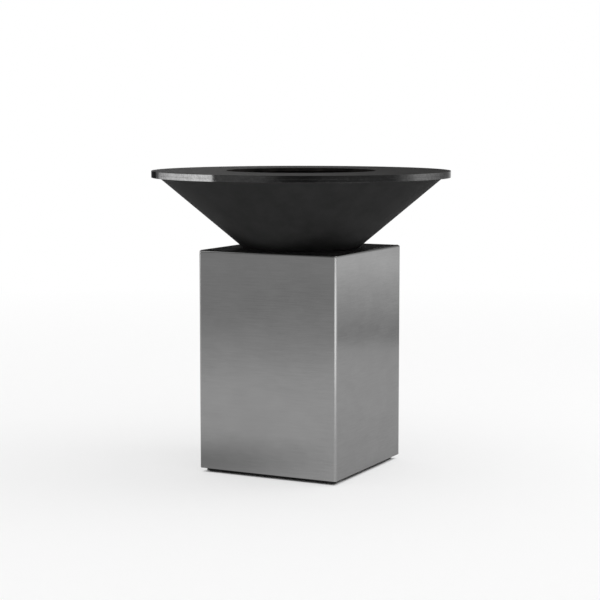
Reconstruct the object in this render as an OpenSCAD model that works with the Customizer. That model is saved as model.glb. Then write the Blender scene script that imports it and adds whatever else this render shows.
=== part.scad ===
// Wood-fired griddle. A square plinth of brushed sheet steel carries a conical fire bowl,
// and a thick ring-shaped cooking plate lies on the bowl's rim, round a fire opening.
// Sizes are in millimetres. The origin is on the floor under the middle of the plinth,
// +Z is up and the front of the plinth faces -Y.

/* [Cooking plate] */
// Outer diameter of the cooking plate
plate_d = 1000; // [800:10:1200]
// Diameter of the fire opening in the plate
opening_d = 500; // [300:10:640]
// Thickness of the plate
plate_t = 12; // [8:1:20]
// Depth of the band under the plate's edge
band_depth = 10; // [4:1:20]
// Radial thickness of the band
band_w = 12; // [6:1:18]
// Rounding of the outer edges of the plate and the band
edge_r = 1.5; // [1:0.5:6]

/* [Fire bowl] */
// Height of the bowl, from the deck to the seat of the plate
bowl_h = 247; // [180:1:350]
// Outer diameter of the bowl's foot
bowl_foot_d = 386; // [300:2:400]
// How far the bowl's mouth lies inside the plate's edge
mouth_inset = 25; // [21:1:60]
// Sheet thickness of the bowl
bowl_t = 3; // [2:0.5:6]
// Thickness of the flat ring on the bowl's mouth
rim_t = 10; // [4:1:12]
// How far the ring reaches inside the mouth
rim_overlap = 25; // [12:1:50]
// Gap between the ring and the plate's band
band_clearance = 3; // [1:0.5:6]
// Height of the bowl's floor above the deck
floor_rise = 28; // [15:1:60]
// Thickness of the bowl's floor
floor_t = 5; // [3:1:10]

/* [Plinth] */
// Outer width and depth of the plinth
plinth_w = 504; // [440:5:700]
// Height of the casing
casing_h = 730; // [400:2:900]
// Height of the casing's lower edge above the floor
casing_gap = 14; // [10:1:40]
// Sheet thickness of the casing and the rear panel
wall_t = 3; // [2:0.5:5]
// Outside bend radius of the casing's front corners and of its upper edges
corner_r = 8; // [6:0.5:10]
// How far the lip on the upper edges reaches inwards from the casing's faces
lip_w = 12; // [11:0.5:18]
// Thickness of the deck plate
deck_t = 5; // [4:0.5:8]
// How far the deck lies below the lip's upper face
deck_recess = 1; // [0:0.5:2]
// Gap round the deck, and between the rear panel and the casing
panel_clearance = 0.5; // [0.3:0.1:1]

/* [Inner frame] */
// Leg width of the corner posts and the deck rails
angle_w = 30; // [24:1:45]
// Sheet thickness of the posts and rails
angle_t = 3; // [2:0.5:5]
// How far the base bars lie inside the casing's faces
base_inset = 18; // [10:1:40]
// Width of the base bars
base_bar_w = 36; // [30:1:60]
// Width of the plates in the plinth's lower corners
foot_plate_w = 90; // [80:1:140]
// Thickness of those plates
foot_plate_t = 5; // [3:0.5:10]

/* [Levelling feet] */
// Diameter of the foot pads
pad_d = 34; // [26:1:36]
// Thickness of the pads
pad_t = 4; // [3:0.5:8]
// Width of the chamfer round the pads
pad_chamfer = 1; // [0.5:0.5:2]
// Depth of the stud's seat in its pad
pad_seat = 2; // [1:0.5:2.5]
// Diameter of the threaded studs
stud_d = 12; // [8:1:14]
// Width across the flats of the weld nuts
nut_af = 19; // [17:1:24]
// Height of the weld nuts
nut_h = 10; // [6:1:16]
// How far each foot screws out
foot_travel = 20; // [5:1:40]
// Width across the flats of the socket in each stud
stud_socket_af = 6; // [4:1:7]
// Depth of that socket
stud_socket_depth = 6; // [3:1:10]
// Radial clearance of a screwed fit
thread_clearance = 0.05; // [0.02:0.01:0.1]
// Radial clearance of a plain hole round a stud or screw
hole_clearance = 0.5; // [0.2:0.1:1]

/* [Drain] */
// Outer diameter of the drain spigot
spigot_d = 48; // [40:1:60]
// Wall of the spigot
spigot_wall = 3; // [2:0.5:5]
// How far the spigot reaches below the deck's top
spigot_drop = 60; // [20:1:120]
// Radial gap between the spigot and its guide
spigot_clearance = 1.5; // [0.5:0.1:3]
// Length of the guide tube under the deck
guide_h = 45; // [15:1:90]
// Wall of the guide tube
guide_wall = 3; // [2:0.5:6]
// Gap at a welded round joint
weld_gap = 0.2; // [0.1:0.05:0.5]
// Diameter of the ember guard over the drain
guard_d = 96; // [80:1:140]
// Thickness of the guard
guard_t = 4; // [2:0.5:8]
// Depth of the guard's collar in the spigot
collar_h = 12; // [5:1:25]
// Wall of that collar
collar_wall = 2; // [1:0.5:4]
// Radial gap between the collar and the spigot
collar_clearance = 1; // [0.3:0.1:2]
// Diameter of the drain holes
drain_hole_d = 5; // [3:0.5:5.5]
// Number of drain holes
drain_holes = 8; // [4:1:10]
// Diameter of the guard's knob
knob_d = 16; // [12:1:30]
// Diameter of the knob's stem
knob_stem_d = 8; // [5:0.5:10]
// Height of the knob's middle above the guard
knob_rise = 14; // [10:1:30]

/* [Fasteners] */
// Thread diameter of the panel and deck screws
screw_d = 6; // [4:1:8]
// How far the screws stand out of their nuts
screw_tip = 1; // [0:0.5:5]
// Diameter of the button heads on the rear panel
button_d = 11; // [9:0.5:14]
// Height of those heads
button_h = 3.5; // [2.5:0.5:5]
// Diameter of the countersunk heads in the deck
csk_d = 12; // [9.5:0.5:14]
// Height of those heads
csk_h = 3; // [2:0.5:3.5]
// Width across the flats of the screws' sockets
screw_socket_af = 4; // [2.5:0.5:5]
// Depth of those sockets
screw_socket_depth = 2; // [1:0.5:2.5]
// Diameter of the nuts behind the screws
screw_nut_d = 11; // [9:0.5:14]
// Height of those nuts
screw_nut_h = 5; // [3:0.5:7]
// Number of screws down each side of the rear panel
panel_screw_rows = 4; // [2:1:8]
// Distance of the end screws from the panel's ends
panel_screw_end = 60; // [40:5:150]

/* [Hidden] */
$fn = 128;
CORNERS = ["front_left", "front_right", "rear_right", "rear_left"];
SIDES = ["left", "front", "right", "rear"];
QUARTERS = [0:3];
SINGLE_NODES = [
    "casing_wrapper", "rear_panel", "panel_screws", "panel_nuts",
    "deck_plate", "deck_screws", "deck_nuts", "spigot_guide", "foot_nuts",
    "bowl_cone", "bowl_floor", "bowl_rim_ring", "drain_spigot", "ember_guard",
    "cooking_plate", "plate_band"
];

// A cut runs this far past the faces that it opens
cut = 1;
// Heights
casing_top = casing_gap + casing_h;
deck_top = casing_top - deck_recess;
deck_bottom = deck_top - deck_t;
// The posts end where the casing's upper fold begins
post_top = min(deck_bottom, casing_top - corner_r);
foot_plate_top = casing_gap + foot_plate_t;
foot_nut_top = foot_plate_top + nut_h;
bowl_floor_bottom = deck_top + floor_rise;
bowl_floor_top = bowl_floor_bottom + floor_t;
plate_bottom = deck_top + bowl_h;
rim_bottom = plate_bottom - rim_t;
// Plinth
casing_inner = plinth_w / 2 - wall_t;
casing_bend_r = corner_r - wall_t;
deck_w = 2 * (plinth_w / 2 - lip_w - panel_clearance);
// Folded angles and inner corners keep clear of the casing's inner bend
bend_margin = 1;
angle_bend_r = max(casing_bend_r, angle_t) + bend_margin;
base_half = plinth_w / 2 - base_inset;
foot_offset = base_half - base_bar_w / 2;
panel_screw_offset = casing_inner - angle_w / 2;
// The deck's screws go through the middle of its bearing on the rails
deck_screw_offset = (deck_w / 2 + casing_inner - angle_w) / 2;
panel_screw_pitch = (casing_h - 2 * panel_screw_end) / (panel_screw_rows - 1);
// What the screws clamp together
panel_grip = wall_t + angle_t;
deck_grip = deck_t + angle_t;
// Plate and bowl
plate_r = plate_d / 2;
// A rounding leaves at least this much of each side that it meets
edge_flat = 1;
round_r = min(edge_r, plate_t - edge_flat, band_depth - edge_flat, band_w - edge_flat);
mouth_r = plate_r - mouth_inset;
foot_r = bowl_foot_d / 2;
cone_h = rim_bottom - deck_top;
cone_slope = (mouth_r - foot_r) / cone_h;
// Horizontal width of a slanted sheet of the bowl's thickness
cone_wall = bowl_t * sqrt(1 + cone_slope * cone_slope);
// Drain
spigot_r = spigot_d / 2;
spigot_bore_r = spigot_r - spigot_wall;
guide_bore_r = spigot_r + spigot_clearance;
collar_r = spigot_bore_r - collar_clearance;
collar_bore_r = collar_r - collar_wall;
drain_circle_r = (knob_stem_d / 2 + collar_bore_r) / 2;
// A hexagon of this across-flats width has this circumscribed radius
function hex_r(af) = af / sqrt(3);
// Inner radius of the bowl's cone at height z
function cone_inner_r(z) = foot_r + (z - deck_top) * cone_slope - cone_wall;
// Heights of the rear panel's screws
function panel_screw_z(i) = casing_gap + panel_screw_end + i * panel_screw_pitch;

// What a rounding takes off a square corner at the origin, whose sides run along +X and +Y
module corner_cut(r) {
    difference() {
        square(r);
        translate([r, r]) circle(r);
    }
}

// A square with one corner at the origin, rounded there
module corner_square(w, r) {
    difference() {
        square(w);
        corner_cut(r);
    }
}

// A rectangle in plan, from the middle of its front edge backwards, with round front corners
module front_rounded(w, depth, r) {
    difference() {
        translate([-w / 2, 0]) square([w, depth]);
        translate([-w / 2, 0]) corner_cut(r);
        translate([w / 2, 0]) rotate(90) corner_cut(r);
    }
}

// Section of a folded steel angle, with its outer corner at the origin
module angle_section() {
    difference() {
        corner_square(angle_w, angle_bend_r);
        translate([angle_t, angle_t]) corner_square(angle_w, angle_bend_r - angle_t);
    }
}

// A tube from z upwards
module tube(outer_r, inner_r, z, h) {
    translate([0, 0, z]) difference() {
        cylinder(r = outer_r, h = h);
        translate([0, 0, -cut]) cylinder(r = inner_r, h = h + 2 * cut);
    }
}

// Puts its children at one corner of the plinth, turned so that +X and +Y lead inwards
module at_corner(k, offset, z) {
    rotate([0, 0, 90 * k]) translate([-offset, -offset, z]) children();
}

// Puts its children at the middle of one side of the plinth, where +X leads inwards
module at_side(k, offset, z) {
    rotate([0, 0, 90 * k]) translate([-offset, 0, z]) children();
}

// Puts its children at each screw of the rear panel, on the panel's face, +Z leading out
module at_panel_screws() {
    for (side = [-1, 1], i = [0 : panel_screw_rows - 1])
        translate([side * panel_screw_offset, plinth_w / 2, panel_screw_z(i)])
            rotate([-90, 0, 0]) children();
}

// Puts its children at each screw of the deck, on the deck's top
module at_deck_screws() {
    for (k = QUARTERS) at_side(k, deck_screw_offset, deck_top) children();
}

// Shank of a screw that clamps this grip, downwards from its face
module shank(grip) {
    shank_len = grip + screw_nut_h + screw_tip;
    translate([0, 0, -shank_len]) cylinder(d = screw_d, h = shank_len);
}

// Hole for such a shank
module shank_hole(grip, clearance) {
    translate([0, 0, -grip - cut]) cylinder(d = screw_d + 2 * clearance, h = grip + 2 * cut);
}

// Nut behind such a screw
module screw_nut(grip) {
    tube(screw_nut_d / 2, screw_d / 2 + thread_clearance, -grip - screw_nut_h, screw_nut_h);
}

// Hexagon socket that opens upwards at height z
module socket(af, depth, z) {
    translate([0, 0, z - depth]) cylinder(r = hex_r(af), h = depth + cut, $fn = 6);
}

// Lays a section out so that its X leads towards +Y and its Y upwards, and runs it along X
module along_x(len) {
    rotate([90, 0, 90]) linear_extrude(len, center = true) children();
}

// The casing's outer form, with each face moved inwards and its lower and rear ends moved out
module casing_block(inwards, past) {
    r = corner_r - inwards;
    w = plinth_w - 2 * inwards;
    front = -plinth_w / 2 + inwards;
    depth = plinth_w - inwards + past;
    low = casing_gap - past;
    h = casing_top - inwards - low;
    intersection() {
        translate([0, front, low]) linear_extrude(h) front_rounded(w, depth, r);
        along_x(w) difference() {
            translate([front, low]) square([depth, h]);
            translate([front, low + h]) rotate(-90) corner_cut(r);
        }
        translate([0, front, low + h]) rotate([-90, 0, 0]) linear_extrude(depth) front_rounded(w, h, r);
    }
}

module casing_wrapper() {
    lip_opening = plinth_w / 2 - lip_w;
    color("silver") difference() {
        casing_block(0, 0);
        casing_block(wall_t, cut);
        translate([-lip_opening, -lip_opening, casing_gap])
            cube([2 * lip_opening, plinth_w, casing_h + cut]);
        // Room for the rear panel between the ends of the side lips
        translate([-casing_inner, casing_inner - panel_clearance, casing_gap])
            cube([2 * casing_inner, plinth_w, casing_h + cut]);
    }
}

// Section of the rear panel, seen along X: a sheet with its upper edge folded inwards
module panel_section() {
    difference() {
        translate([plinth_w / 2 - lip_w, casing_gap]) square([lip_w, casing_h]);
        translate([plinth_w / 2, casing_top]) rotate(180) corner_cut(corner_r);
        translate([0, -wall_t]) difference() {
            square([casing_inner, casing_top]);
            translate([casing_inner, casing_top]) rotate(180) corner_cut(casing_bend_r);
        }
    }
}

module rear_panel() {
    panel_w = 2 * (casing_inner - panel_clearance);
    color("silver") difference() {
        along_x(panel_w) panel_section();
        // The fold is as wide as the deck, and fits between the casing's side lips
        for (side = [0, 1]) mirror([side, 0, 0])
            translate([deck_w / 2, 0, casing_gap]) cube([plinth_w, casing_inner, casing_h + cut]);
        at_panel_screws() shank_hole(panel_grip, hole_clearance);
    }
}

module panel_screws() {
    color("gainsboro") at_panel_screws() difference() {
        union() {
            cylinder(d1 = button_d, d2 = screw_d, h = button_h);
            shank(panel_grip);
        }
        socket(screw_socket_af, screw_socket_depth, button_h);
    }
}

module panel_nuts() {
    color("gainsboro") at_panel_screws() screw_nut(panel_grip);
}

module deck_plate() {
    color("#2b2b2b") difference() {
        translate([0, 0, deck_bottom]) linear_extrude(deck_t) difference() {
            square(deck_w, center = true);
            circle(guide_bore_r);
            for (k = QUARTERS) rotate(90 * k)
                translate([-deck_w / 2, -deck_w / 2]) corner_cut(angle_bend_r);
        }
        at_deck_screws() {
            shank_hole(deck_grip, hole_clearance);
            translate([0, 0, -csk_h])
                cylinder(d1 = screw_d + 2 * weld_gap, d2 = csk_d + 2 * weld_gap, h = csk_h);
        }
    }
}

module deck_screws() {
    color("#222222") at_deck_screws() difference() {
        union() {
            translate([0, 0, -csk_h]) cylinder(d1 = screw_d, d2 = csk_d, h = csk_h);
            shank(deck_grip);
        }
        socket(screw_socket_af, screw_socket_depth, 0);
    }
}

module deck_nuts() {
    color("gainsboro") at_deck_screws() screw_nut(deck_grip);
}

module spigot_guide() {
    color("#2b2b2b") tube(guide_bore_r + guide_wall, guide_bore_r, deck_bottom - guide_h, guide_h);
}

module corner_post(k) {
    color("gray") difference() {
        at_corner(k, casing_inner, foot_plate_top)
            linear_extrude(post_top - foot_plate_top) angle_section();
        at_panel_screws() shank_hole(panel_grip, thread_clearance);
    }
}

module deck_rail(k) {
    rail_len = 2 * (casing_inner - angle_w);
    color("gray") difference() {
        at_side(k, casing_inner, deck_bottom)
            rotate([-90, 0, 0]) linear_extrude(rail_len, center = true) angle_section();
        at_deck_screws() shank_hole(deck_grip, thread_clearance);
    }
}

module foot_plate(k) {
    foot_from_corner = casing_inner - foot_offset;
    color("gray") at_corner(k, casing_inner, casing_gap)
        linear_extrude(foot_plate_t) difference() {
            corner_square(foot_plate_w, angle_bend_r);
            translate([foot_from_corner, foot_from_corner]) circle(d = stud_d + 2 * hole_clearance);
        }
}

// The front and rear bars run the whole width, and the side bars fit between them
module base_bar(k) {
    across = k % 2 == 1;
    half_len = across ? base_half : base_half - base_bar_w;
    color("#1c1c1c") difference() {
        at_side(k, base_half, pad_t)
            translate([0, -half_len, 0]) cube([base_bar_w, 2 * half_len, casing_gap - pad_t]);
        for (c = QUARTERS) at_corner(c, foot_offset, 0)
            cylinder(d = stud_d + 2 * hole_clearance, h = casing_gap + cut);
    }
}

module foot_nuts() {
    color("gainsboro") for (k = QUARTERS) at_corner(k, foot_offset, foot_plate_top) difference() {
        cylinder(r = hex_r(nut_af), h = nut_h, $fn = 6);
        translate([0, 0, -cut]) cylinder(d = stud_d + 2 * thread_clearance, h = nut_h + 2 * cut);
    }
}

module foot_pad(k) {
    pad_r = pad_d / 2;
    color("#111111") at_corner(k, foot_offset, 0) difference() {
        union() {
            cylinder(r = pad_r, h = pad_t - pad_chamfer);
            translate([0, 0, pad_t - pad_chamfer])
                cylinder(r1 = pad_r, r2 = pad_r - pad_chamfer, h = pad_chamfer);
        }
        translate([0, 0, pad_t - pad_seat]) cylinder(d = stud_d + 2 * weld_gap, h = pad_seat + cut);
    }
}

module foot_stud(k) {
    stud_bottom = pad_t - pad_seat;
    stud_top = foot_nut_top + foot_travel;
    color("gainsboro") at_corner(k, foot_offset, 0) difference() {
        translate([0, 0, stud_bottom]) cylinder(d = stud_d, h = stud_top - stud_bottom);
        socket(stud_socket_af, stud_socket_depth, stud_top);
    }
}

module bowl_cone() {
    color("#2e2e2e") rotate_extrude() polygon([
        [foot_r, deck_top],
        [mouth_r, rim_bottom],
        [cone_inner_r(rim_bottom), rim_bottom],
        [cone_inner_r(deck_top), deck_top]
    ]);
}

module bowl_floor() {
    color("#2e2e2e") rotate_extrude() polygon([
        [spigot_r + weld_gap, bowl_floor_bottom],
        [cone_inner_r(bowl_floor_bottom) - weld_gap, bowl_floor_bottom],
        [cone_inner_r(bowl_floor_top) - weld_gap, bowl_floor_top],
        [spigot_r + weld_gap, bowl_floor_top]
    ]);
}

module bowl_rim_ring() {
    color("#2e2e2e")
        tube(plate_r - band_w - band_clearance, mouth_r - rim_overlap, rim_bottom, rim_t);
}

module drain_spigot() {
    spigot_bottom = deck_top - spigot_drop;
    color("#2e2e2e") tube(spigot_r, spigot_bore_r, spigot_bottom, bowl_floor_top - spigot_bottom);
}

module ember_guard() {
    color("#3a3a3a") {
        translate([0, 0, bowl_floor_top]) {
            difference() {
                cylinder(d = guard_d, h = guard_t);
                for (i = [1 : drain_holes]) rotate(360 * i / drain_holes)
                    translate([drain_circle_r, 0, -cut])
                        cylinder(d = drain_hole_d, h = guard_t + 2 * cut);
            }
            cylinder(d = knob_stem_d, h = guard_t + knob_rise);
            translate([0, 0, guard_t + knob_rise]) sphere(d = knob_d);
        }
        tube(collar_r, collar_bore_r, bowl_floor_top - collar_h, collar_h);
    }
}

module cooking_plate() {
    opening_r = opening_d / 2;
    color("#4a4a4a") translate([0, 0, plate_bottom]) rotate_extrude() difference() {
        translate([opening_r, 0]) square([plate_r - opening_r, plate_t]);
        translate([plate_r, plate_t]) rotate(180) corner_cut(round_r);
    }
}

module plate_band() {
    color("#4a4a4a") translate([0, 0, plate_bottom - band_depth]) rotate_extrude() difference() {
        translate([plate_r - band_w, 0]) square([band_w, band_depth]);
        translate([plate_r, 0]) rotate(90) corner_cut(round_r);
    }
}

casing_wrapper();
rear_panel();
panel_screws();
panel_nuts();
deck_plate();
deck_screws();
deck_nuts();
spigot_guide();
foot_nuts();
bowl_cone();
bowl_floor();
bowl_rim_ring();
drain_spigot();
ember_guard();
cooking_plate();
plate_band();
for (k = QUARTERS) {
    corner_post(k);
    deck_rail(k);
    foot_plate(k);
    base_bar(k);
    foot_pad(k);
    foot_stud(k);
}
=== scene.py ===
"""Wood-fired griddle on a square plinth: the finished look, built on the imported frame."""

import math

import bmesh
import bpy
from mathutils import Matrix, Vector

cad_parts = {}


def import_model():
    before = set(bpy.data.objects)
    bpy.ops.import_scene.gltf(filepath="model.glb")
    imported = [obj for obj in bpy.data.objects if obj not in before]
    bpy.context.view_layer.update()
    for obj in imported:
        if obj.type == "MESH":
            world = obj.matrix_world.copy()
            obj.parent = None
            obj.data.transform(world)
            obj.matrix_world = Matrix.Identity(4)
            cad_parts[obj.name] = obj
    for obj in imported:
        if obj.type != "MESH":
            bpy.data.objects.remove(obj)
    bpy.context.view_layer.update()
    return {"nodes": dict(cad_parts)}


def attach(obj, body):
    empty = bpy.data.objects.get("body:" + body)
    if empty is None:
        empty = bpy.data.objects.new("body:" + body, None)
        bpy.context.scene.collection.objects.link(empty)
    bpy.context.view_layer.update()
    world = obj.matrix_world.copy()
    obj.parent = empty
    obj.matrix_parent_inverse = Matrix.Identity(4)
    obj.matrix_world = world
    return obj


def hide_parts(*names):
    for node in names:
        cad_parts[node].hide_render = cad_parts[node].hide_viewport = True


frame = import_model()
NODES = frame["nodes"]
SCENE = bpy.context.scene
MM = 0.001
CORNERS = {
    "front_left": (-1, -1),
    "front_right": (1, -1),
    "rear_right": (1, 1),
    "rear_left": (-1, 1),
}
SIDES = ("left", "front", "right", "rear")

# Sizes of the part, in millimetres. Each Z pair is a lower and an upper height.
PLINTH = 504.0
CASING_Z = (14.0, 744.0)
WALL = 3.0
BEND = 8.0
LIP = 12.0
SHEET_GAP = 0.5
# How far a sheet's ends are blunted, and where its length is divided
BLUNT = 0.6
DIVISIONS = (-120.0, 0.0, 120.0)
SCREW_X = 234.0
SCREW_Z = (74.0, 684.0)
SCREW_ROWS = 4
DECK_TOP = 743.0
FOOT = 216.0
CONE_FOOT, CONE_MOUTH = 193.0, 475.0
BOWL_SHEET = 3.0
RIM_Z = (980.0, 990.0)
RING_R = (450.0, 485.0)
FLOOR_Z = (771.0, 776.0)
SPIGOT_R, SPIGOT_BORE, SPIGOT_LOW = 24.0, 21.0, 683.0
WELD_GAP = 0.2
PLATE_Z = (990.0, 1002.0)
PLATE_R, OPENING_R = 500.0, 250.0
BAND_IN = 488.0
RIM_EDGE = 0.6


# Materials


class Finish:
    """A node material with one Principled shader, and short ways to build its inputs."""

    def __init__(self, name, **constants):
        self.material = bpy.data.materials.new(name)
        self.material.use_nodes = True
        self.tree = self.material.node_tree
        self.tree.nodes.clear()
        self.shader = self.add("ShaderNodeBsdfPrincipled")
        output = self.add("ShaderNodeOutputMaterial")
        self.tree.links.new(self.shader.outputs["BSDF"], output.inputs["Surface"])
        for socket, value in constants.items():
            self.shader.inputs[socket.replace("_", " ")].default_value = value
        self.place = self.add("ShaderNodeTexCoord").outputs["Object"]

    def add(self, kind, **settings):
        node = self.tree.nodes.new(kind)
        for key, value in settings.items():
            setattr(node, key, value)
        return node

    def put(self, socket, value):
        """Sets a socket to a number or colour, or links it to an output."""
        if isinstance(value, bpy.types.NodeSocket):
            self.tree.links.new(value, socket)
        else:
            socket.default_value = value

    def into(self, **values):
        """Sets the shader's inputs by name."""
        for socket, value in values.items():
            self.put(self.shader.inputs[socket.replace("_", " ")], value)

    def noise(self, scale, detail=2.0, roughness=0.5, place=None):
        """Noise from 0 to 1 with this many grains a metre along each axis."""
        mapping = self.add("ShaderNodeMapping")
        self.put(mapping.inputs["Vector"], place or self.place)
        mapping.inputs["Scale"].default_value = scale if isinstance(scale, tuple) else (scale,) * 3
        texture = self.add("ShaderNodeTexNoise")
        self.put(texture.inputs["Vector"], mapping.outputs["Vector"])
        texture.inputs["Scale"].default_value = 1.0
        texture.inputs["Detail"].default_value = detail
        texture.inputs["Roughness"].default_value = roughness
        return texture.outputs[0]

    def math(self, operation, a, b=0.0):
        node = self.add("ShaderNodeMath", operation=operation)
        self.put(node.inputs[0], a)
        self.put(node.inputs[1], b)
        return node.outputs[0]

    def weigh(self, *pairs):
        """The sum of the outputs, each times its weight."""
        total = None
        for output, weight in pairs:
            part = self.math("MULTIPLY", output, weight)
            total = part if total is None else self.math("ADD", total, part)
        return total

    def spread(self, value, low, high, start=0.0, end=1.0):
        """Takes start..end to low..high."""
        node = self.add("ShaderNodeMapRange")
        for socket, number in zip(node.inputs, (value, start, end, low, high)):
            self.put(socket, number)
        return node.outputs[0]

    def blend(self, factor, first, second):
        """Mixes two colours."""
        node = self.add("ShaderNodeMix", data_type="RGBA")
        for index, value in ((0, factor), (6, first), (7, second)):
            self.put(node.inputs[index], value)
        return node.outputs[2]

    def ramp(self, value, stops):
        """Greys at points of a value, with even steps between."""
        node = self.add("ShaderNodeValToRGB")
        start, end = stops[0][0], stops[-1][0]
        self.put(node.inputs[0], self.spread(value, 0.0, 1.0, start, end))
        elements = node.color_ramp.elements
        elements[0].position, elements[1].position = 0.0, 1.0
        elements[0].color, elements[1].color = grey(stops[0][1]), grey(stops[-1][1])
        for point, shade in stops[1:-1]:
            elements.new((point - start) / (end - start)).color = grey(shade)
        return node.outputs[0]

    def radius(self):
        """Distance from the upright axis through the origin."""
        flat = self.add("ShaderNodeVectorMath", operation="MULTIPLY")
        self.put(flat.inputs[0], self.place)
        flat.inputs[1].default_value = (1.0, 1.0, 0.0)
        length = self.add("ShaderNodeVectorMath", operation="LENGTH")
        self.put(length.inputs[0], flat.outputs["Vector"])
        return length.outputs["Value"]

    def axes(self):
        """The X, Y and Z of each point."""
        split = self.add("ShaderNodeSeparateXYZ")
        self.put(split.inputs[0], self.place)
        return split.outputs

    def bump(self, height, strength, distance):
        node = self.add("ShaderNodeBump")
        node.inputs["Strength"].default_value = strength
        node.inputs["Distance"].default_value = distance
        self.put(node.inputs["Height"], height)
        self.into(Normal=node.outputs["Normal"])


def grey(value, warm=0.0):
    """A grey with a little red added and blue taken away for warmth."""
    return (value * (1 + warm), value, value * (1 - warm), 1.0)


def brushed_steel(name, dark, light, rough, edge=0.6):
    """Sheet steel brushed along the horizontal, so that lights spread up and down on it."""
    f = Finish(
        name, Metallic=1.0, Anisotropic=0.8, Anisotropic_Rotation=0.25, Specular_Tint=grey(edge)
    )
    lines = f.noise((7.0, 7.0, 1500.0), 3.0, 0.6)
    bands = f.noise((12.0, 12.0, 260.0), 3.0, 0.6)
    cloud = f.noise((9.0, 9.0, 12.0), 4.0, 0.65)
    mix = f.weigh((lines, 0.3), (bands, 0.35), (cloud, 0.35))
    tangent = f.add("ShaderNodeTangent", direction_type="RADIAL", axis="Z")
    f.into(
        Base_Color=f.blend(f.spread(mix, 0.0, 1.0, 0.35, 0.65), grey(dark), grey(light)),
        Roughness=f.spread(mix, rough[0], rough[1], 0.35, 0.65),
        Tangent=tangent.outputs[0],
    )
    f.bump(lines, 0.02, 0.0002)
    return f.material


def coating(name, dark, light, rough, heat=0.0):
    """Matt heat-proof coating with a fine grain. Heat leaves it paler and browner in patches."""
    f = Finish(name, Specular_IOR_Level=0.015)
    grain = f.noise(900.0, 2.0, 0.6)
    patch = f.noise(16.0, 4.0, 0.6)
    mix = f.weigh((grain, 0.45), (patch, 0.55))
    colour = f.blend(f.spread(mix, 0.0, 1.0, 0.3, 0.7), grey(dark), grey(light))
    if heat:
        scorch = f.spread(f.noise(11.0, 4.0, 0.6), 0.0, heat, 0.42, 0.68)
        colour = f.blend(scorch, colour, (0.085, 0.074, 0.066, 1.0))
    f.into(Base_Color=colour, Roughness=f.spread(mix, rough[0], rough[1], 0.3, 0.7))
    f.bump(grain, 0.12, 0.0004)
    return f.material


def oiled_top(name):
    """Ground steel under a burnt-in oil film, with fine rings from the grinding."""
    f = Finish(name, Specular_IOR_Level=0.028)
    r = f.radius()
    ring_place = f.add("ShaderNodeCombineXYZ")
    f.put(ring_place.inputs["X"], r)
    rings = f.noise(420.0, 2.0, 0.6, ring_place.outputs[0])
    film = f.noise(5.0, 4.0, 0.6)
    specks = f.noise(160.0, 2.0, 0.6)
    mix = f.weigh((rings, 0.35), (film, 0.45), (specks, 0.2))
    colour = f.blend(f.spread(mix, 0.0, 1.0, 0.4, 0.6), grey(0.011, 0.03), grey(0.03, 0.02))
    burnt = f.spread(r, 0.55, 0.0, OPENING_R * MM, (OPENING_R + 95) * MM)
    colour = f.blend(burnt, colour, grey(0.014, 0.05))
    f.into(Base_Color=colour, Roughness=f.spread(mix, 0.5, 0.66, 0.36, 0.64))
    f.bump(rings, 0.1, 0.0003)
    return f.material


def ground_edge(name):
    """The plate's ground edge: dark bare steel with a soft polish."""
    f = Finish(name, Metallic=1.0, Specular_Tint=grey(0.35))
    lines = f.noise((5.0, 5.0, 900.0), 2.0, 0.6)
    film = f.noise(9.0, 3.0, 0.55)
    specks = f.noise(130.0, 4.0, 0.7)
    mix = f.weigh((lines, 0.2), (film, 0.2), (specks, 0.6))
    f.into(
        Base_Color=f.blend(f.spread(mix, 0.0, 1.0, 0.35, 0.65), grey(0.10), grey(0.21)),
        Roughness=f.spread(mix, 0.06, 0.10, 0.35, 0.65),
    )
    f.bump(specks, 0.16, 0.0006)
    return f.material


def zinc(name, dark, light, rough, spangle):
    """Zinc-coated steel: patches of crystal at a given number a metre."""
    f = Finish(name, Metallic=0.9)
    cells = f.add("ShaderNodeTexVoronoi")
    f.put(cells.inputs["Vector"], f.place)
    cells.inputs["Scale"].default_value = spangle
    split = f.add("ShaderNodeSeparateColor")
    f.put(split.inputs[0], cells.outputs["Color"])
    mix = f.weigh((split.outputs[0], 0.6), (f.noise(spangle * 4.0), 0.4))
    f.into(
        Base_Color=f.blend(mix, grey(dark, -0.02), grey(light, -0.02)),
        Roughness=f.spread(mix, rough[0], rough[1]),
    )
    return f.material


def moulded(name, dark, light, rough):
    """Moulded nylon with a fine matt grain."""
    f = Finish(name, Specular_IOR_Level=0.4)
    grain = f.noise(1400.0, 2.0, 0.6)
    mix = f.weigh((grain, 0.6), (f.noise(60.0), 0.4))
    f.into(
        Base_Color=f.blend(mix, grey(dark), grey(light)),
        Roughness=f.spread(mix, rough[0], rough[1]),
    )
    f.bump(grain, 0.1, 0.0003)
    return f.material


STEEL = brushed_steel("brushed_stainless", 0.255, 0.31, (0.085, 0.12))
BENT = brushed_steel("brushed_stainless_bend", 0.27, 0.32, (0.16, 0.19))
# A darker, duller copy of the steel: painted shade for the lip's top under the bowl.
STEEL_PAINTED_SHADE = brushed_steel("brushed_stainless_painted_shade", 0.05, 0.08, (0.3, 0.4), 0.2)
COATING = coating("black_coating", 0.0225, 0.035, (0.6, 0.75))
SCORCHED = coating("black_coating_scorched", 0.006, 0.011, (0.65, 0.8), heat=0.2)
OILED = oiled_top("oiled_steel_top")
EDGE = ground_edge("oiled_steel_edge")
GALVANISED = zinc("galvanised_steel", 0.34, 0.52, (0.38, 0.52), 160.0)
FASTENER = zinc("fastener_steel", 0.50, 0.62, (0.24, 0.34), 900.0)
NYLON = moulded("black_nylon", 0.018, 0.03, (0.5, 0.62))


# Mesh building


def arc(centre, r, start, end, steps):
    """Points on an arc, angles in degrees."""
    return [
        (
            centre[0] + r * math.cos(math.radians(start + (end - start) * i / steps)),
            centre[1] + r * math.sin(math.radians(start + (end - start) * i / steps)),
        )
        for i in range(steps + 1)
    ]


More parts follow.
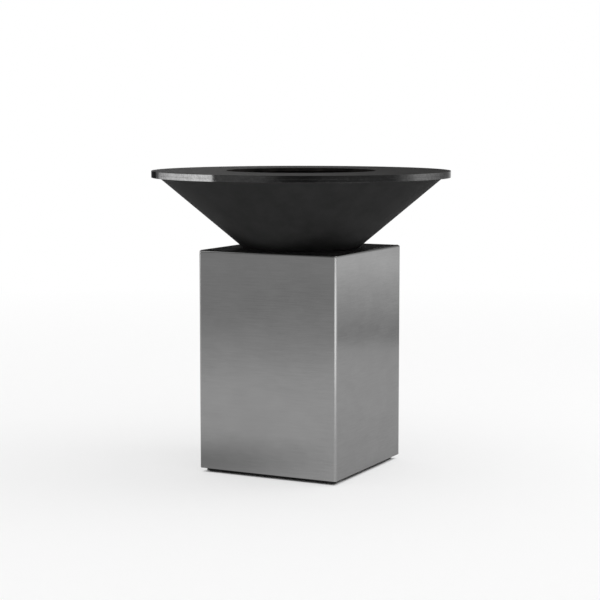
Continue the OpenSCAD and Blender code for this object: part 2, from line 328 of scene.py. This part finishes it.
def rounded(corners, steps):
    """A closed outline through (x, y, radius) corners, with each corner rounded to its radius."""
    outline = []
    for i, (x, y, r) in enumerate(corners):
        here = Vector((x, y))
        before = (Vector(corners[i - 1][:2]) - here).normalized()
        after = (Vector(corners[(i + 1) % len(corners)][:2]) - here).normalized()
        if r <= 0:
            outline.append((x, y))
            continue
        half = before.angle(after) / 2
        middle = here + (before + after).normalized() * (r / math.sin(half))
        first = here + before * (r / math.tan(half)) - middle
        last = here + after * (r / math.tan(half)) - middle
        turn = first.angle_signed(last)
        for k in range(steps + 1):
            point = first.copy()
            point.rotate(Matrix.Rotation(-turn * k / steps, 2))
            outline.append(tuple(middle + point))
    return outline


def lathe(profile, segments):
    """Turns a closed (radius, height) outline round the upright axis."""
    n = len(profile)
    verts, faces = [], []
    for k in range(segments):
        a = math.tau * k / segments
        verts += [(r * math.cos(a), r * math.sin(a), z) for r, z in profile]
        here, there = k * n, (k + 1) % segments * n
        faces += [(here + i, there + i, there + (i + 1) % n, here + (i + 1) % n) for i in range(n)]
    return verts, faces


def loft(loops, closed=False, caps=True):
    """Skins a row of loops of equal length."""
    n = len(loops[0])
    verts = [point for loop in loops for point in loop]
    faces = []
    for k in range(len(loops) if closed else len(loops) - 1):
        here, there = k * n, (k + 1) % len(loops) * n
        faces += [(here + i, there + i, there + (i + 1) % n, here + (i + 1) % n) for i in range(n)]
    if caps and not closed:
        faces += [tuple(reversed(range(n))), tuple(range(len(verts) - n, len(verts)))]
    return verts, faces


def join(*meshes):
    """Several (verts, faces) as one."""
    verts, faces = [], []
    for more, their_faces in meshes:
        faces += [tuple(i + len(verts) for i in face) for face in their_faces]
        verts += more
    return verts, faces


def shift(mesh, matrix):
    """The mesh moved by a matrix."""
    return [tuple(matrix @ Vector(v)) for v in mesh[0]], mesh[1]


def piece(name, mesh, body, materials, nodes=(), pick=None, sharp=40, flatten=True):
    """Makes a piece from millimetre verts and faces, on a body and in the place of nodes.

    pick gives the number of a face's material.
    """
    verts, faces = mesh
    data = bpy.data.meshes.new(name)
    data.from_pydata([tuple(c * MM for c in v) for v in verts], [], faces)
    work = bmesh.new()
    work.from_mesh(data)
    bmesh.ops.remove_doubles(work, verts=work.verts, dist=1e-7)
    bmesh.ops.recalc_face_normals(work, faces=work.faces)
    for face in work.faces:
        face.smooth = True
        if pick:
            face.material_index = pick(face)
    work.to_mesh(data)
    work.free()
    data.set_sharp_from_angle(angle=math.radians(sharp))
    for material in materials:
        data.materials.append(material)
    obj = bpy.data.objects.new(name, data)
    SCENE.collection.objects.link(obj)
    if flatten:
        obj.modifiers.new("even_normals", "WEIGHTED_NORMAL").keep_sharp = True
    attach(obj, body)
    if nodes:
        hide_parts(*nodes)


# Casing: one sheet bent round the front and both sides, and a rear panel, both folded in at the top


def sheet_section():
    """Section of the folded sheet, as (distance inwards from its face, height)."""
    low, high = CASING_Z
    return rounded(
        [
            (0, low, 0.8),
            (WALL, low, 0.8),
            (WALL, high - WALL, BEND - WALL),
            (LIP, high - WALL, 0.6),
            (LIP, high, 0.6),
            (0, high, BEND),
        ],
        8,
    )


def without_lip(section):
    """The section where the lip is cut away behind the sheet."""
    top = CASING_Z[1] - BEND + math.sqrt(BEND**2 - (BEND - WALL) ** 2)
    return [(o, z) if o <= WALL else (WALL, min(z, top)) for o, z in section]


def drawn_in(section):
    """The section at a sheet's end, a little smaller so that the edge there is blunt."""
    low, high = CASING_Z
    return [
        (min(max(o, BLUNT), WALL - BLUNT), min(max(z, low + BLUNT), high - BLUNT))
        for o, z in section
    ]


SHEET_FINISHES = [STEEL, STEEL_PAINTED_SHADE, BENT]


def sheet_finish(face):
    """The lip's flat top under the bowl gets painted shade, a darker and duller steel, and bending
    roughens the upright corners.
    """
    x, y, z = face.normal
    if z > 0.98:
        return 1
    return 2 if min(abs(x), abs(y)) > 0.06 else 0


def casing():
    half = PLINTH / 2
    full = sheet_section()
    plain = without_lip(full)
    bent = [(min(o, BEND), z) for o, z in full]
    lip_end, bend_end = half - WALL - SHEET_GAP, half - BEND
    side = [(half, drawn_in(plain)), (half - BLUNT, plain), (lip_end, plain), (lip_end, full)]
    side += [(y, full) for y in (*reversed(DIVISIONS), -bend_end)]
    # Places along the sheet: a point, the way out of the face there, and the section
    stations = [((-half, y), (-1, 0), outline) for y, outline in side]
    for x_side, start in ((-1, 180), (1, 270)):
        centre = (x_side * bend_end, -bend_end)
        for x, y in arc(centre, BEND, start, start + 90, 12):
            stations.append(((x, y), ((x - centre[0]) / BEND, (y - centre[1]) / BEND), bent))
        if x_side < 0:
            stations += [((x, -half), (0, -1), full) for x in (-bend_end, *DIVISIONS, bend_end)]
    stations += [((half, y), (1, 0), outline) for y, outline in reversed(side)]
    loops = [
        [(p[0] - n[0] * o, p[1] - n[1] * o, z) for o, z in outline] for p, n, outline in stations
    ]
    piece(
        "casing", loft(loops), "plinth",
        SHEET_FINISHES, ["casing_wrapper"], sheet_finish,
    )


def rear_panel():
    half = PLINTH / 2
    end = half - WALL - SHEET_GAP
    lip_end = half - LIP - SHEET_GAP
    full = sheet_section()
    plain = without_lip(full)
    side = [(end, drawn_in(plain)), (end - BLUNT, plain), (lip_end, plain), (lip_end, full)]
    stations = [(-x, outline) for x, outline in side] + [(x, full) for x in DIVISIONS]
    stations += reversed(side)
    loops = [[(x, half - o, z) for o, z in outline] for x, outline in stations]
    piece(
        "rear_panel_sheet", loft(loops), "plinth",
        SHEET_FINISHES, ["rear_panel"], sheet_finish,
    )


def hexagon_r(angle, flat):
    """Distance from the middle of a hexagon of this across-flats width to its side."""
    return flat / 2 / math.cos((angle + math.pi / 6) % (math.pi / 3) - math.pi / 6)


def hexagon(angles, flat, extra, z):
    """A ring of points round a hexagon, pushed out by a little extra."""
    reach = [hexagon_r(a, flat) + extra for a in angles]
    return [(r * math.cos(a), r * math.sin(a), z) for r, a in zip(reach, angles)]


def button_screw(head_r=5.5, head_h=3.5, flat=4.0, depth=2.0, shank_r=3.0, shank=12.0, turns=48):
    """A domed socket screw standing on z 0, with its shank below."""
    crown, edge, chamfer, lead = 2.9, 0.5, 0.22, 0.6
    dome = [(head_r, 0.0), (head_r, edge)]
    dome += [
        (crown + (head_r - crown) * math.cos(a), edge + (head_h - edge) * math.sin(a))
        for a in (math.pi / 2 * i / 7 for i in range(1, 8))
    ]
    rings = [[(0.0, 0.0, -shank)] * turns]
    angles = [math.tau * k / turns for k in range(turns)]
    for r, z in [(shank_r - edge, -shank), (shank_r, -shank + edge), (shank_r, 0.0)] + dome:
        rings.append([(r * math.cos(a), r * math.sin(a), z) for a in angles])
    for extra, z in ((chamfer, head_h), (0.0, head_h - chamfer), (0.0, head_h - depth)):
        rings.append(hexagon(angles, flat, extra, z))
    rings.append([(0.0, 0.0, head_h - depth - lead)] * turns)
    return loft(rings, caps=False)


def panel_screws():
    screw = button_screw()
    turn = Matrix.Rotation(math.radians(-90), 4, "X")
    low, high = SCREW_Z
    places = [
        (side * SCREW_X, PLINTH / 2, low + (high - low) * i / (SCREW_ROWS - 1))
        for side in (-1, 1)
        for i in range(SCREW_ROWS)
    ]
    screws = [shift(screw, Matrix.Translation(place) @ turn) for place in places]
    piece(
        "panel_button_screws", join(*screws), "plinth", [FASTENER],
        ["panel_screws"], sharp=50,
    )


# Fire bowl


def inner_face(face):
    """1 for a face that looks towards the upright axis or upwards, else 0."""
    middle = face.calc_center_median()
    out = Vector((middle.x, middle.y, 0)).normalized()
    return 1 if face.normal.dot(out) < -0.2 or face.normal.z > 0.5 else 0


def cone_r(z):
    """Outer radius of the bowl's cone at a height."""
    return CONE_FOOT + (z - DECK_TOP) * (CONE_MOUTH - CONE_FOOT) / (RIM_Z[0] - DECK_TOP)


# Horizontal width of the cone's slanted sheet
CONE_WALL = BOWL_SHEET * math.hypot(1.0, (CONE_MOUTH - CONE_FOOT) / (RIM_Z[0] - DECK_TOP))


def bowl():
    top = RIM_Z[0]
    cone = rounded(
        [
            (CONE_FOOT, DECK_TOP, 0.8),
            (CONE_MOUTH, top, 0),
            (CONE_MOUTH - CONE_WALL, top, 0),
            (CONE_FOOT - CONE_WALL, DECK_TOP, 0.4),
        ],
        3,
    )
    piece(
        "bowl_cone_sheet", lathe(cone, 256), "bowl",
        [COATING, SCORCHED], ["bowl_cone"], inner_face,
    )
    inner, outer = RING_R
    ring = rounded(
        [(inner, top, 1.5), (outer, top, 1.0), (outer, RIM_Z[1], 1.0), (inner, RIM_Z[1], 1.5)], 3
    )
    piece(
        "bowl_rim_flange", lathe(ring, 256), "bowl", [COATING], ["bowl_rim_ring"]
    )
    low, high = FLOOR_Z
    disc = rounded(
        [
            (SPIGOT_R + WELD_GAP, low, 0.5),
            (cone_r(low) - CONE_WALL - WELD_GAP, low, 0.3),
            (cone_r(high) - CONE_WALL - WELD_GAP, high, 0.3),
            (SPIGOT_R + WELD_GAP, high, 0.5),
        ],
        2,
    )
    piece(
        "bowl_floor_disc", lathe(disc, 192), "bowl",
        [COATING, SCORCHED], ["bowl_floor"], lambda face: 1 if face.normal.z > 0.5 else 0,
    )
    tube = rounded(
        [
            (SPIGOT_BORE, SPIGOT_LOW, 0.6),
            (SPIGOT_R, SPIGOT_LOW, 1.2),
            (SPIGOT_R, high, 0.6),
            (SPIGOT_BORE, high, 0.8),
        ],
        3,
    )
    piece("drain_tube", lathe(tube, 96), "bowl", [COATING], ["drain_spigot"])
    seam()
    weld_ring("rim_weld", CONE_MOUTH - 1.0, top, 4.0, -1, 300)
    weld_ring("floor_weld", cone_r(high) - CONE_WALL - 0.5, high, 4.0, 1, 160, inwards=True)


def seam():
    """The cone's welded seam, up the middle of the rear."""
    slope = Vector((0, CONE_MOUTH - CONE_FOOT, RIM_Z[0] - DECK_TOP))
    along = slope.normalized()
    out = Vector((0, along.z, -along.y))
    start = Vector((0, CONE_FOOT, DECK_TOP))
    half_width, rise, sunk = 3.2, 1.0, 0.3
    first, short = 3.0, 9.0
    steps = 220
    loops = []
    for k in range(steps + 1):
        ripple = 0.82 + 0.18 * math.cos(math.tau * k / 4)
        end = min(1.0, k / 3, (steps - k) / 3)
        centre = start + along * (first + (slope.length - short) * k / steps)
        loop = []
        for i in range(9):
            a = math.pi * i / 8
            across = Vector((half_width * math.cos(a) * (0.4 + 0.6 * end), 0, 0))
            loop.append(tuple(centre + across + out * (rise * ripple * end * math.sin(a) - sunk)))
        loops.append(loop)
    bead("cone_seam_weld", loft(loops))


def weld_ring(name, r, z, leg, side, beads, inwards=False):
    """A fillet weld round the bowl, with the ripples of its run."""
    sign = -1 if inwards else 1
    loops = []
    steps = beads * 4
    for k in range(steps):
        a = math.tau * k / steps
        swell = leg * (0.9 + 0.1 * math.cos(math.tau * k / 4))
        points = [
            (r - sign * 0.6, z - side * 0.4),
            (r + sign * swell * 0.95, z - side * 0.1),
            (r + sign * swell * 0.62, z + side * swell * 0.34),
            (r + sign * swell * 0.34, z + side * swell * 0.62),
            (r - sign * swell * 0.25, z + side * swell * 0.95),
        ]
        loops.append([(p * math.cos(a), p * math.sin(a), q) for p, q in points])
    bead(name, loft(loops, closed=True))


def bead(name, mesh):
    """A weld on the bowl."""
    piece(name, mesh, "bowl", [COATING], sharp=60, flatten=False)


# Cooking plate


def cooking_plate():
    low, high = PLATE_Z
    plate = rounded(
        [
            (OPENING_R, low, 1.0),
            (PLATE_R, low, 0.25),
            (PLATE_R, high, RIM_EDGE),
            (OPENING_R, high, 1.6),
        ],
        6,
    )
    rim, hole = (PLATE_R - 1) * MM, (OPENING_R + 1) * MM

    def part(face):
        """The rim is bare, and the fire scorches the opening and the underside."""
        middle = face.calc_center_median()
        r = math.hypot(middle.x, middle.y)
        if r > rim and abs(face.normal.z) < 0.3:
            return 1
        return 2 if r < hole or face.normal.z < -0.5 else 0

    piece(
        "cooking_plate_disc", lathe(plate, 320), "plate",
        [OILED, EDGE, SCORCHED], ["cooking_plate"], part,
    )
    low, high = RIM_Z
    band = rounded(
        [
            (BAND_IN, low, 1.0),
            (PLATE_R, low, RIM_EDGE),
            (PLATE_R, high, 0.25),
            (BAND_IN, high, 0),
        ],
        6,
    )
    piece(
        "plate_edge_band", lathe(band, 320), "plate",
        [OILED, EDGE, SCORCHED], ["plate_band"], part,
    )


# Levelling feet


def threaded_rod(r=6.0, low=2.0, high=49.0, pitch=1.75, depth=0.95, turns=32, rows=6):
    """A stud with a cut thread, chamfered ends and a socket in its top."""
    chamfer, socket, socket_depth, lead = 1.2, 6.0, 6.0, 1.0
    count = int((high - low) / pitch * rows)
    angles = [math.tau * k / turns for k in range(turns)]
    loops = [[(0.0, 0.0, low)] * turns]
    for i in range(count + 1):
        z = low + (high - low) * i / count
        end = min(1.0, (z - low) / chamfer, (high - z) / chamfer)
        loop = []
        for a in angles:
            phase = ((z - low) / pitch - a / math.tau) % 1.0
            groove = depth * (1 - abs(2 * phase - 1))
            reach = r - depth * (1 - end) - groove * end
            loop.append((reach * math.cos(a), reach * math.sin(a), z))
        loops.append(loop)
    loops += [hexagon(angles, socket, 0.0, z) for z in (high, high - socket_depth)]
    loops.append([(0.0, 0.0, high - socket_depth - lead)] * turns)
    return loft(loops, caps=False)


def foot_pad(r=17.0, height=4.0, seat_r=6.6, seat=2.0):
    """A moulded pad with a seat for its stud."""
    outline = [
        (0, 0, 0),
        (r, 0, 0.6),
        (r, height, 1.0),
        (seat_r, height, 0.4),
        (seat_r, seat, 0),
        (0, seat, 0),
    ]
    return lathe(rounded(outline, 3), 64)


def feet():
    rod, pad = threaded_rod(), foot_pad()
    for corner, (sx, sy) in CORNERS.items():
        at = Matrix.Translation((sx * FOOT, sy * FOOT, 0))
        body = "foot_" + corner
        piece(
            "threaded_stud_" + corner, shift(rod, at), body, [FASTENER],
            ["foot_stud_" + corner], sharp=75, flatten=False,
        )
        piece(
            "moulded_pad_" + corner, shift(pad, at), body, [NYLON], ["foot_pad_" + corner]
        )


# Solids that keep their own shape


def dress(name, material):
    """Gives a solid of the frame its material."""
    obj = NODES[name]
    obj.data.materials.clear()
    obj.data.materials.append(material)


def solids():
    for name in ("panel_nuts", "deck_nuts", "foot_nuts"):
        dress(name, FASTENER)
    for name in ("deck_plate", "deck_screws", "spigot_guide", "ember_guard"):
        dress(name, COATING)
    for side in SIDES:
        dress("base_bar_" + side, COATING)
        dress("deck_rail_" + side, GALVANISED)
    for corner in CORNERS:
        dress("corner_post_" + corner, GALVANISED)
        dress("foot_plate_" + corner, GALVANISED)


casing()
rear_panel()
panel_screws()
bowl()
cooking_plate()
feet()
solids()


# Stage, light and camera, in metres


def sweep_material():
    """White paper, which keeps the part's shadow and turns to plain white further off."""
    f = Finish("studio_sweep", Roughness=1.0, Specular_IOR_Level=0.0)
    f.into(Base_Color=f.blend(f.noise(9.0, 3.0), grey(0.885), grey(0.9)))
    path = f.add("ShaderNodeLightPath")
    seen = f.math("MAXIMUM", path.outputs["Is Camera Ray"], path.outputs["Is Glossy Ray"])
    seen = f.math("MAXIMUM", seen, path.outputs["Is Transmission Ray"])
    # Paper under the plinth, over half plain white just outside it, and all plain white far off
    x, y, _ = f.axes()
    off = f.math("MAXIMUM", f.math("ABSOLUTE", x), f.math("ABSOLUTE", y))
    near = f.spread(off, 0.0, 0.56, 0.235, 0.25)
    far = f.spread(f.radius(), 0.0, 0.44, 0.6, 6.0)
    clear = f.math("ADD", near, far)
    glow = f.add("ShaderNodeEmission")
    glow.inputs["Color"].default_value = grey(1.0)
    both = f.add("ShaderNodeMixShader")
    f.put(both.inputs[0], f.math("MULTIPLY", seen, clear))
    f.put(both.inputs[1], f.shader.outputs["BSDF"])
    f.put(both.inputs[2], glow.outputs[0])
    output = next(n for n in f.tree.nodes if n.type == "OUTPUT_MATERIAL")
    f.put(output.inputs["Surface"], both.outputs[0])
    return f.material


def stage_piece(name, mesh, material):
    """Makes a piece of the stage from verts and faces."""
    verts, faces = mesh
    data = bpy.data.meshes.new(name)
    data.from_pydata(verts, [], faces)
    data.materials.append(material)
    for polygon in data.polygons:
        polygon.use_smooth = True
    obj = bpy.data.objects.new(name, data)
    SCENE.collection.objects.link(obj)
    return obj


def strip(columns):
    """A mesh from columns of points, each joined to the next."""
    rows = len(columns[0])
    verts = [point for column in columns for point in column]
    faces = [
        (c * rows + r, (c + 1) * rows + r, (c + 1) * rows + r + 1, c * rows + r + 1)
        for c in range(len(columns) - 1)
        for r in range(rows - 1)
    ]
    return verts, faces


def round_columns(profile, start, end, steps):
    """Columns of a profile of radius and height, from one angle round the axis to another."""
    angles = [math.radians(start + (end - start) * k / steps) for k in range(steps + 1)]
    return [[(r * math.cos(a), r * math.sin(a), z) for r, z in profile] for a in angles]


def stage():
    """A round floor that sweeps up into a wall on all sides."""
    flat, bend, top = 8.0, 1.6, 4.0
    profile = [(0.05, 0), (1, 0), (4, 0)] + arc((flat, bend), bend, -90, 0, 12)
    profile.append((flat + bend, top))
    stage_piece("sweep", strip(round_columns(profile, 0, 360, 96)), sweep_material())


def card(name, angles, profile, greys, run="up", centre=(0, 0)):
    """A studio card that glows with its greys and lights nothing, so it shows only in the part's
    polish as a painted reflection.

    It is a profile of radius and height, turned about its centre through angles from +X. Its greys
    run up by height, round by angle in degrees, or out by radius.
    """
    f = Finish(name, Base_Color=grey(0.0), Specular_IOR_Level=0.0, Emission_Strength=1.0)
    x, y, z = f.axes()
    if run == "round":
        place = f.math("MULTIPLY", f.math("ARCTAN2", y, x), math.degrees(1.0))
    else:
        place = f.radius() if run == "out" else z
    place = f.math("ADD", place, f.spread(f.noise(1.5), -0.01, 0.01))
    f.into(Emission_Color=f.ramp(place, greys))
    obj = stage_piece(name, strip(round_columns(profile, *angles, 16)), f.material)
    obj.location = (*centre, 0)
    obj.visible_camera = obj.visible_diffuse = obj.visible_shadow = False


def key_light():
    """A soft box overhead at the right, invisible to the camera."""
    width, radiance = 2.0, 1.8
    angle, distance, height, aim = math.radians(30), 2.4, 3.4, 0.5
    lamp = bpy.data.lights.new("key", "AREA")
    lamp.shape = "RECTANGLE"
    lamp.size = lamp.size_y = width
    lamp.energy = radiance * 4.0 * width * width
    obj = bpy.data.objects.new("key", lamp)
    obj.location = (distance * math.cos(angle), distance * math.sin(angle), height)
    towards = Vector((0, 0, aim)) - obj.location
    obj.rotation_euler = towards.to_track_quat("-Z", "Y").to_euler()
    obj.visible_camera = False
    SCENE.collection.objects.link(obj)


def world():
    """Soft light from overhead, with a dim studio round the horizon."""
    made = bpy.data.worlds.new("studio")
    made.use_nodes = True
    tree = made.node_tree
    tree.nodes.clear()
    place = tree.nodes.new("ShaderNodeTexCoord")
    split = tree.nodes.new("ShaderNodeSeparateXYZ")
    ramp = tree.nodes.new("ShaderNodeValToRGB")
    back = tree.nodes.new("ShaderNodeBackground")
    output = tree.nodes.new("ShaderNodeOutputWorld")
    stops = ramp.color_ramp.elements
    stops[0].position, stops[0].color = 0.06, grey(0.03)
    stops[1].position, stops[1].color = 0.75, grey(1.0)
    for position in (0.15, 0.3):
        stops.new(position).color = grey(0.28)
    back.inputs["Strength"].default_value = 1.08
    tree.links.new(place.outputs["Generated"], split.inputs[0])
    tree.links.new(split.outputs["Z"], ramp.inputs[0])
    tree.links.new(ramp.outputs[0], back.inputs["Color"])
    tree.links.new(back.outputs[0], output.inputs["Surface"])
    SCENE.world = made


def camera():
    """The photo's point of view."""
    tilt, turn = 6.31, 26.79
    lens = bpy.data.cameras.new("camera")
    lens.lens = 101.04
    lens.sensor_width = 36.0
    lens.shift_x = -0.00185
    obj = bpy.data.objects.new("camera", lens)
    obj.location = (2.5465, -5.0435, 1.190)
    obj.rotation_euler = (math.radians(90 - tilt), 0, math.radians(turn))
    SCENE.collection.objects.link(obj)
    SCENE.camera = obj


stage()
# Painted reflections: glowing cards round the part, dark and light, that shape the reflections in
# the casing, the rim and the plate's top; the brightest paint the rim's highlight at the left and
# the casing's corner highlight.
card(
    "left_card", (-125.4, -100), ((2.2, 0), (2.2, 2.4)),
    ((0.0, 0.89), (0.08, 0.82), (0.14, 0.74), (0.21, 0.65), (0.27, 0.58), (0.33, 0.52),
     (0.46, 0.54), (0.52, 0.62), (0.75, 0.40), (0.92, 0.25), (1.2, 0.30), (2.4, 0.25)),
)
card("left_high_card", (-100, -88), ((2.2, 0.7), (2.2, 1.3)), ((0.7, 0.24), (1.3, 0.26)))
card(
    "front_card", (-92, 27.5), ((3.0, 0.66), (3.0, 1.3)),
    ((-92, 0.24), (-88, 0.23), (-82, 0.14), (-75, 0.06), (-60, 0.045), (-48, 0.085), (-25, 0.115),
     (4, 0.135), (10, 0.26), (18, 0.5), (27.5, 0.95)),
    run="round",
)
card("back_card", (118, 160), ((3.0, 0.6), (3.0, 1.2)), ((0.6, 0.1), (1.2, 0.12)))
card(
    "back_high_card", (55, 140), ((3.2, 1.0), (3.2, 2.6)),
    ((55, 0.9), (75, 0.4), (92, 0.1), (107, 0.1), (117, 0.6), (126, 1.05), (140, 1.0)),
    run="round",
)
card(
    "right_card", (19, 100), ((3.3, 0), (3.3, 2.2)),
    ((0.0, 0.60), (0.06, 0.63), (0.14, 0.75), (0.21, 0.90), (0.29, 1.03), (0.36, 1.20),
     (0.44, 1.36), (0.6, 1.05), (1.0, 1.0), (1.2, 1.5), (2.2, 0.6)),
)
card("left_bright_card", (-194, -127.8), ((3.3, 0.64), (3.3, 1.2)), ((0.64, 2.95), (1.2, 3.05)))
card(
    "front_low_card", (-98, 48), ((2.4, 0.01), (2.4, 0.61)),
    ((-98, 0.8), (-84, 1.0), (-70, 2.6), (-16, 2.6), (-4, 1.2), (48, 1.0)),
    run="round",
)
# A painted shadow: a glowing disc on the floor, darkest just off the plinth's front-left corner,
# that shows only in the casing's polish.
card(
    "floor_shadow_card", (0, 360), ((0, 0.003), (0.5, 0.003)),
    ((0.0, 0.45), (0.22, 0.6), (0.5, 0.86)),
    run="out", centre=(-0.36, -0.36),
)
key_light()
world()
camera()
SCENE.view_settings.view_transform = "Standard"
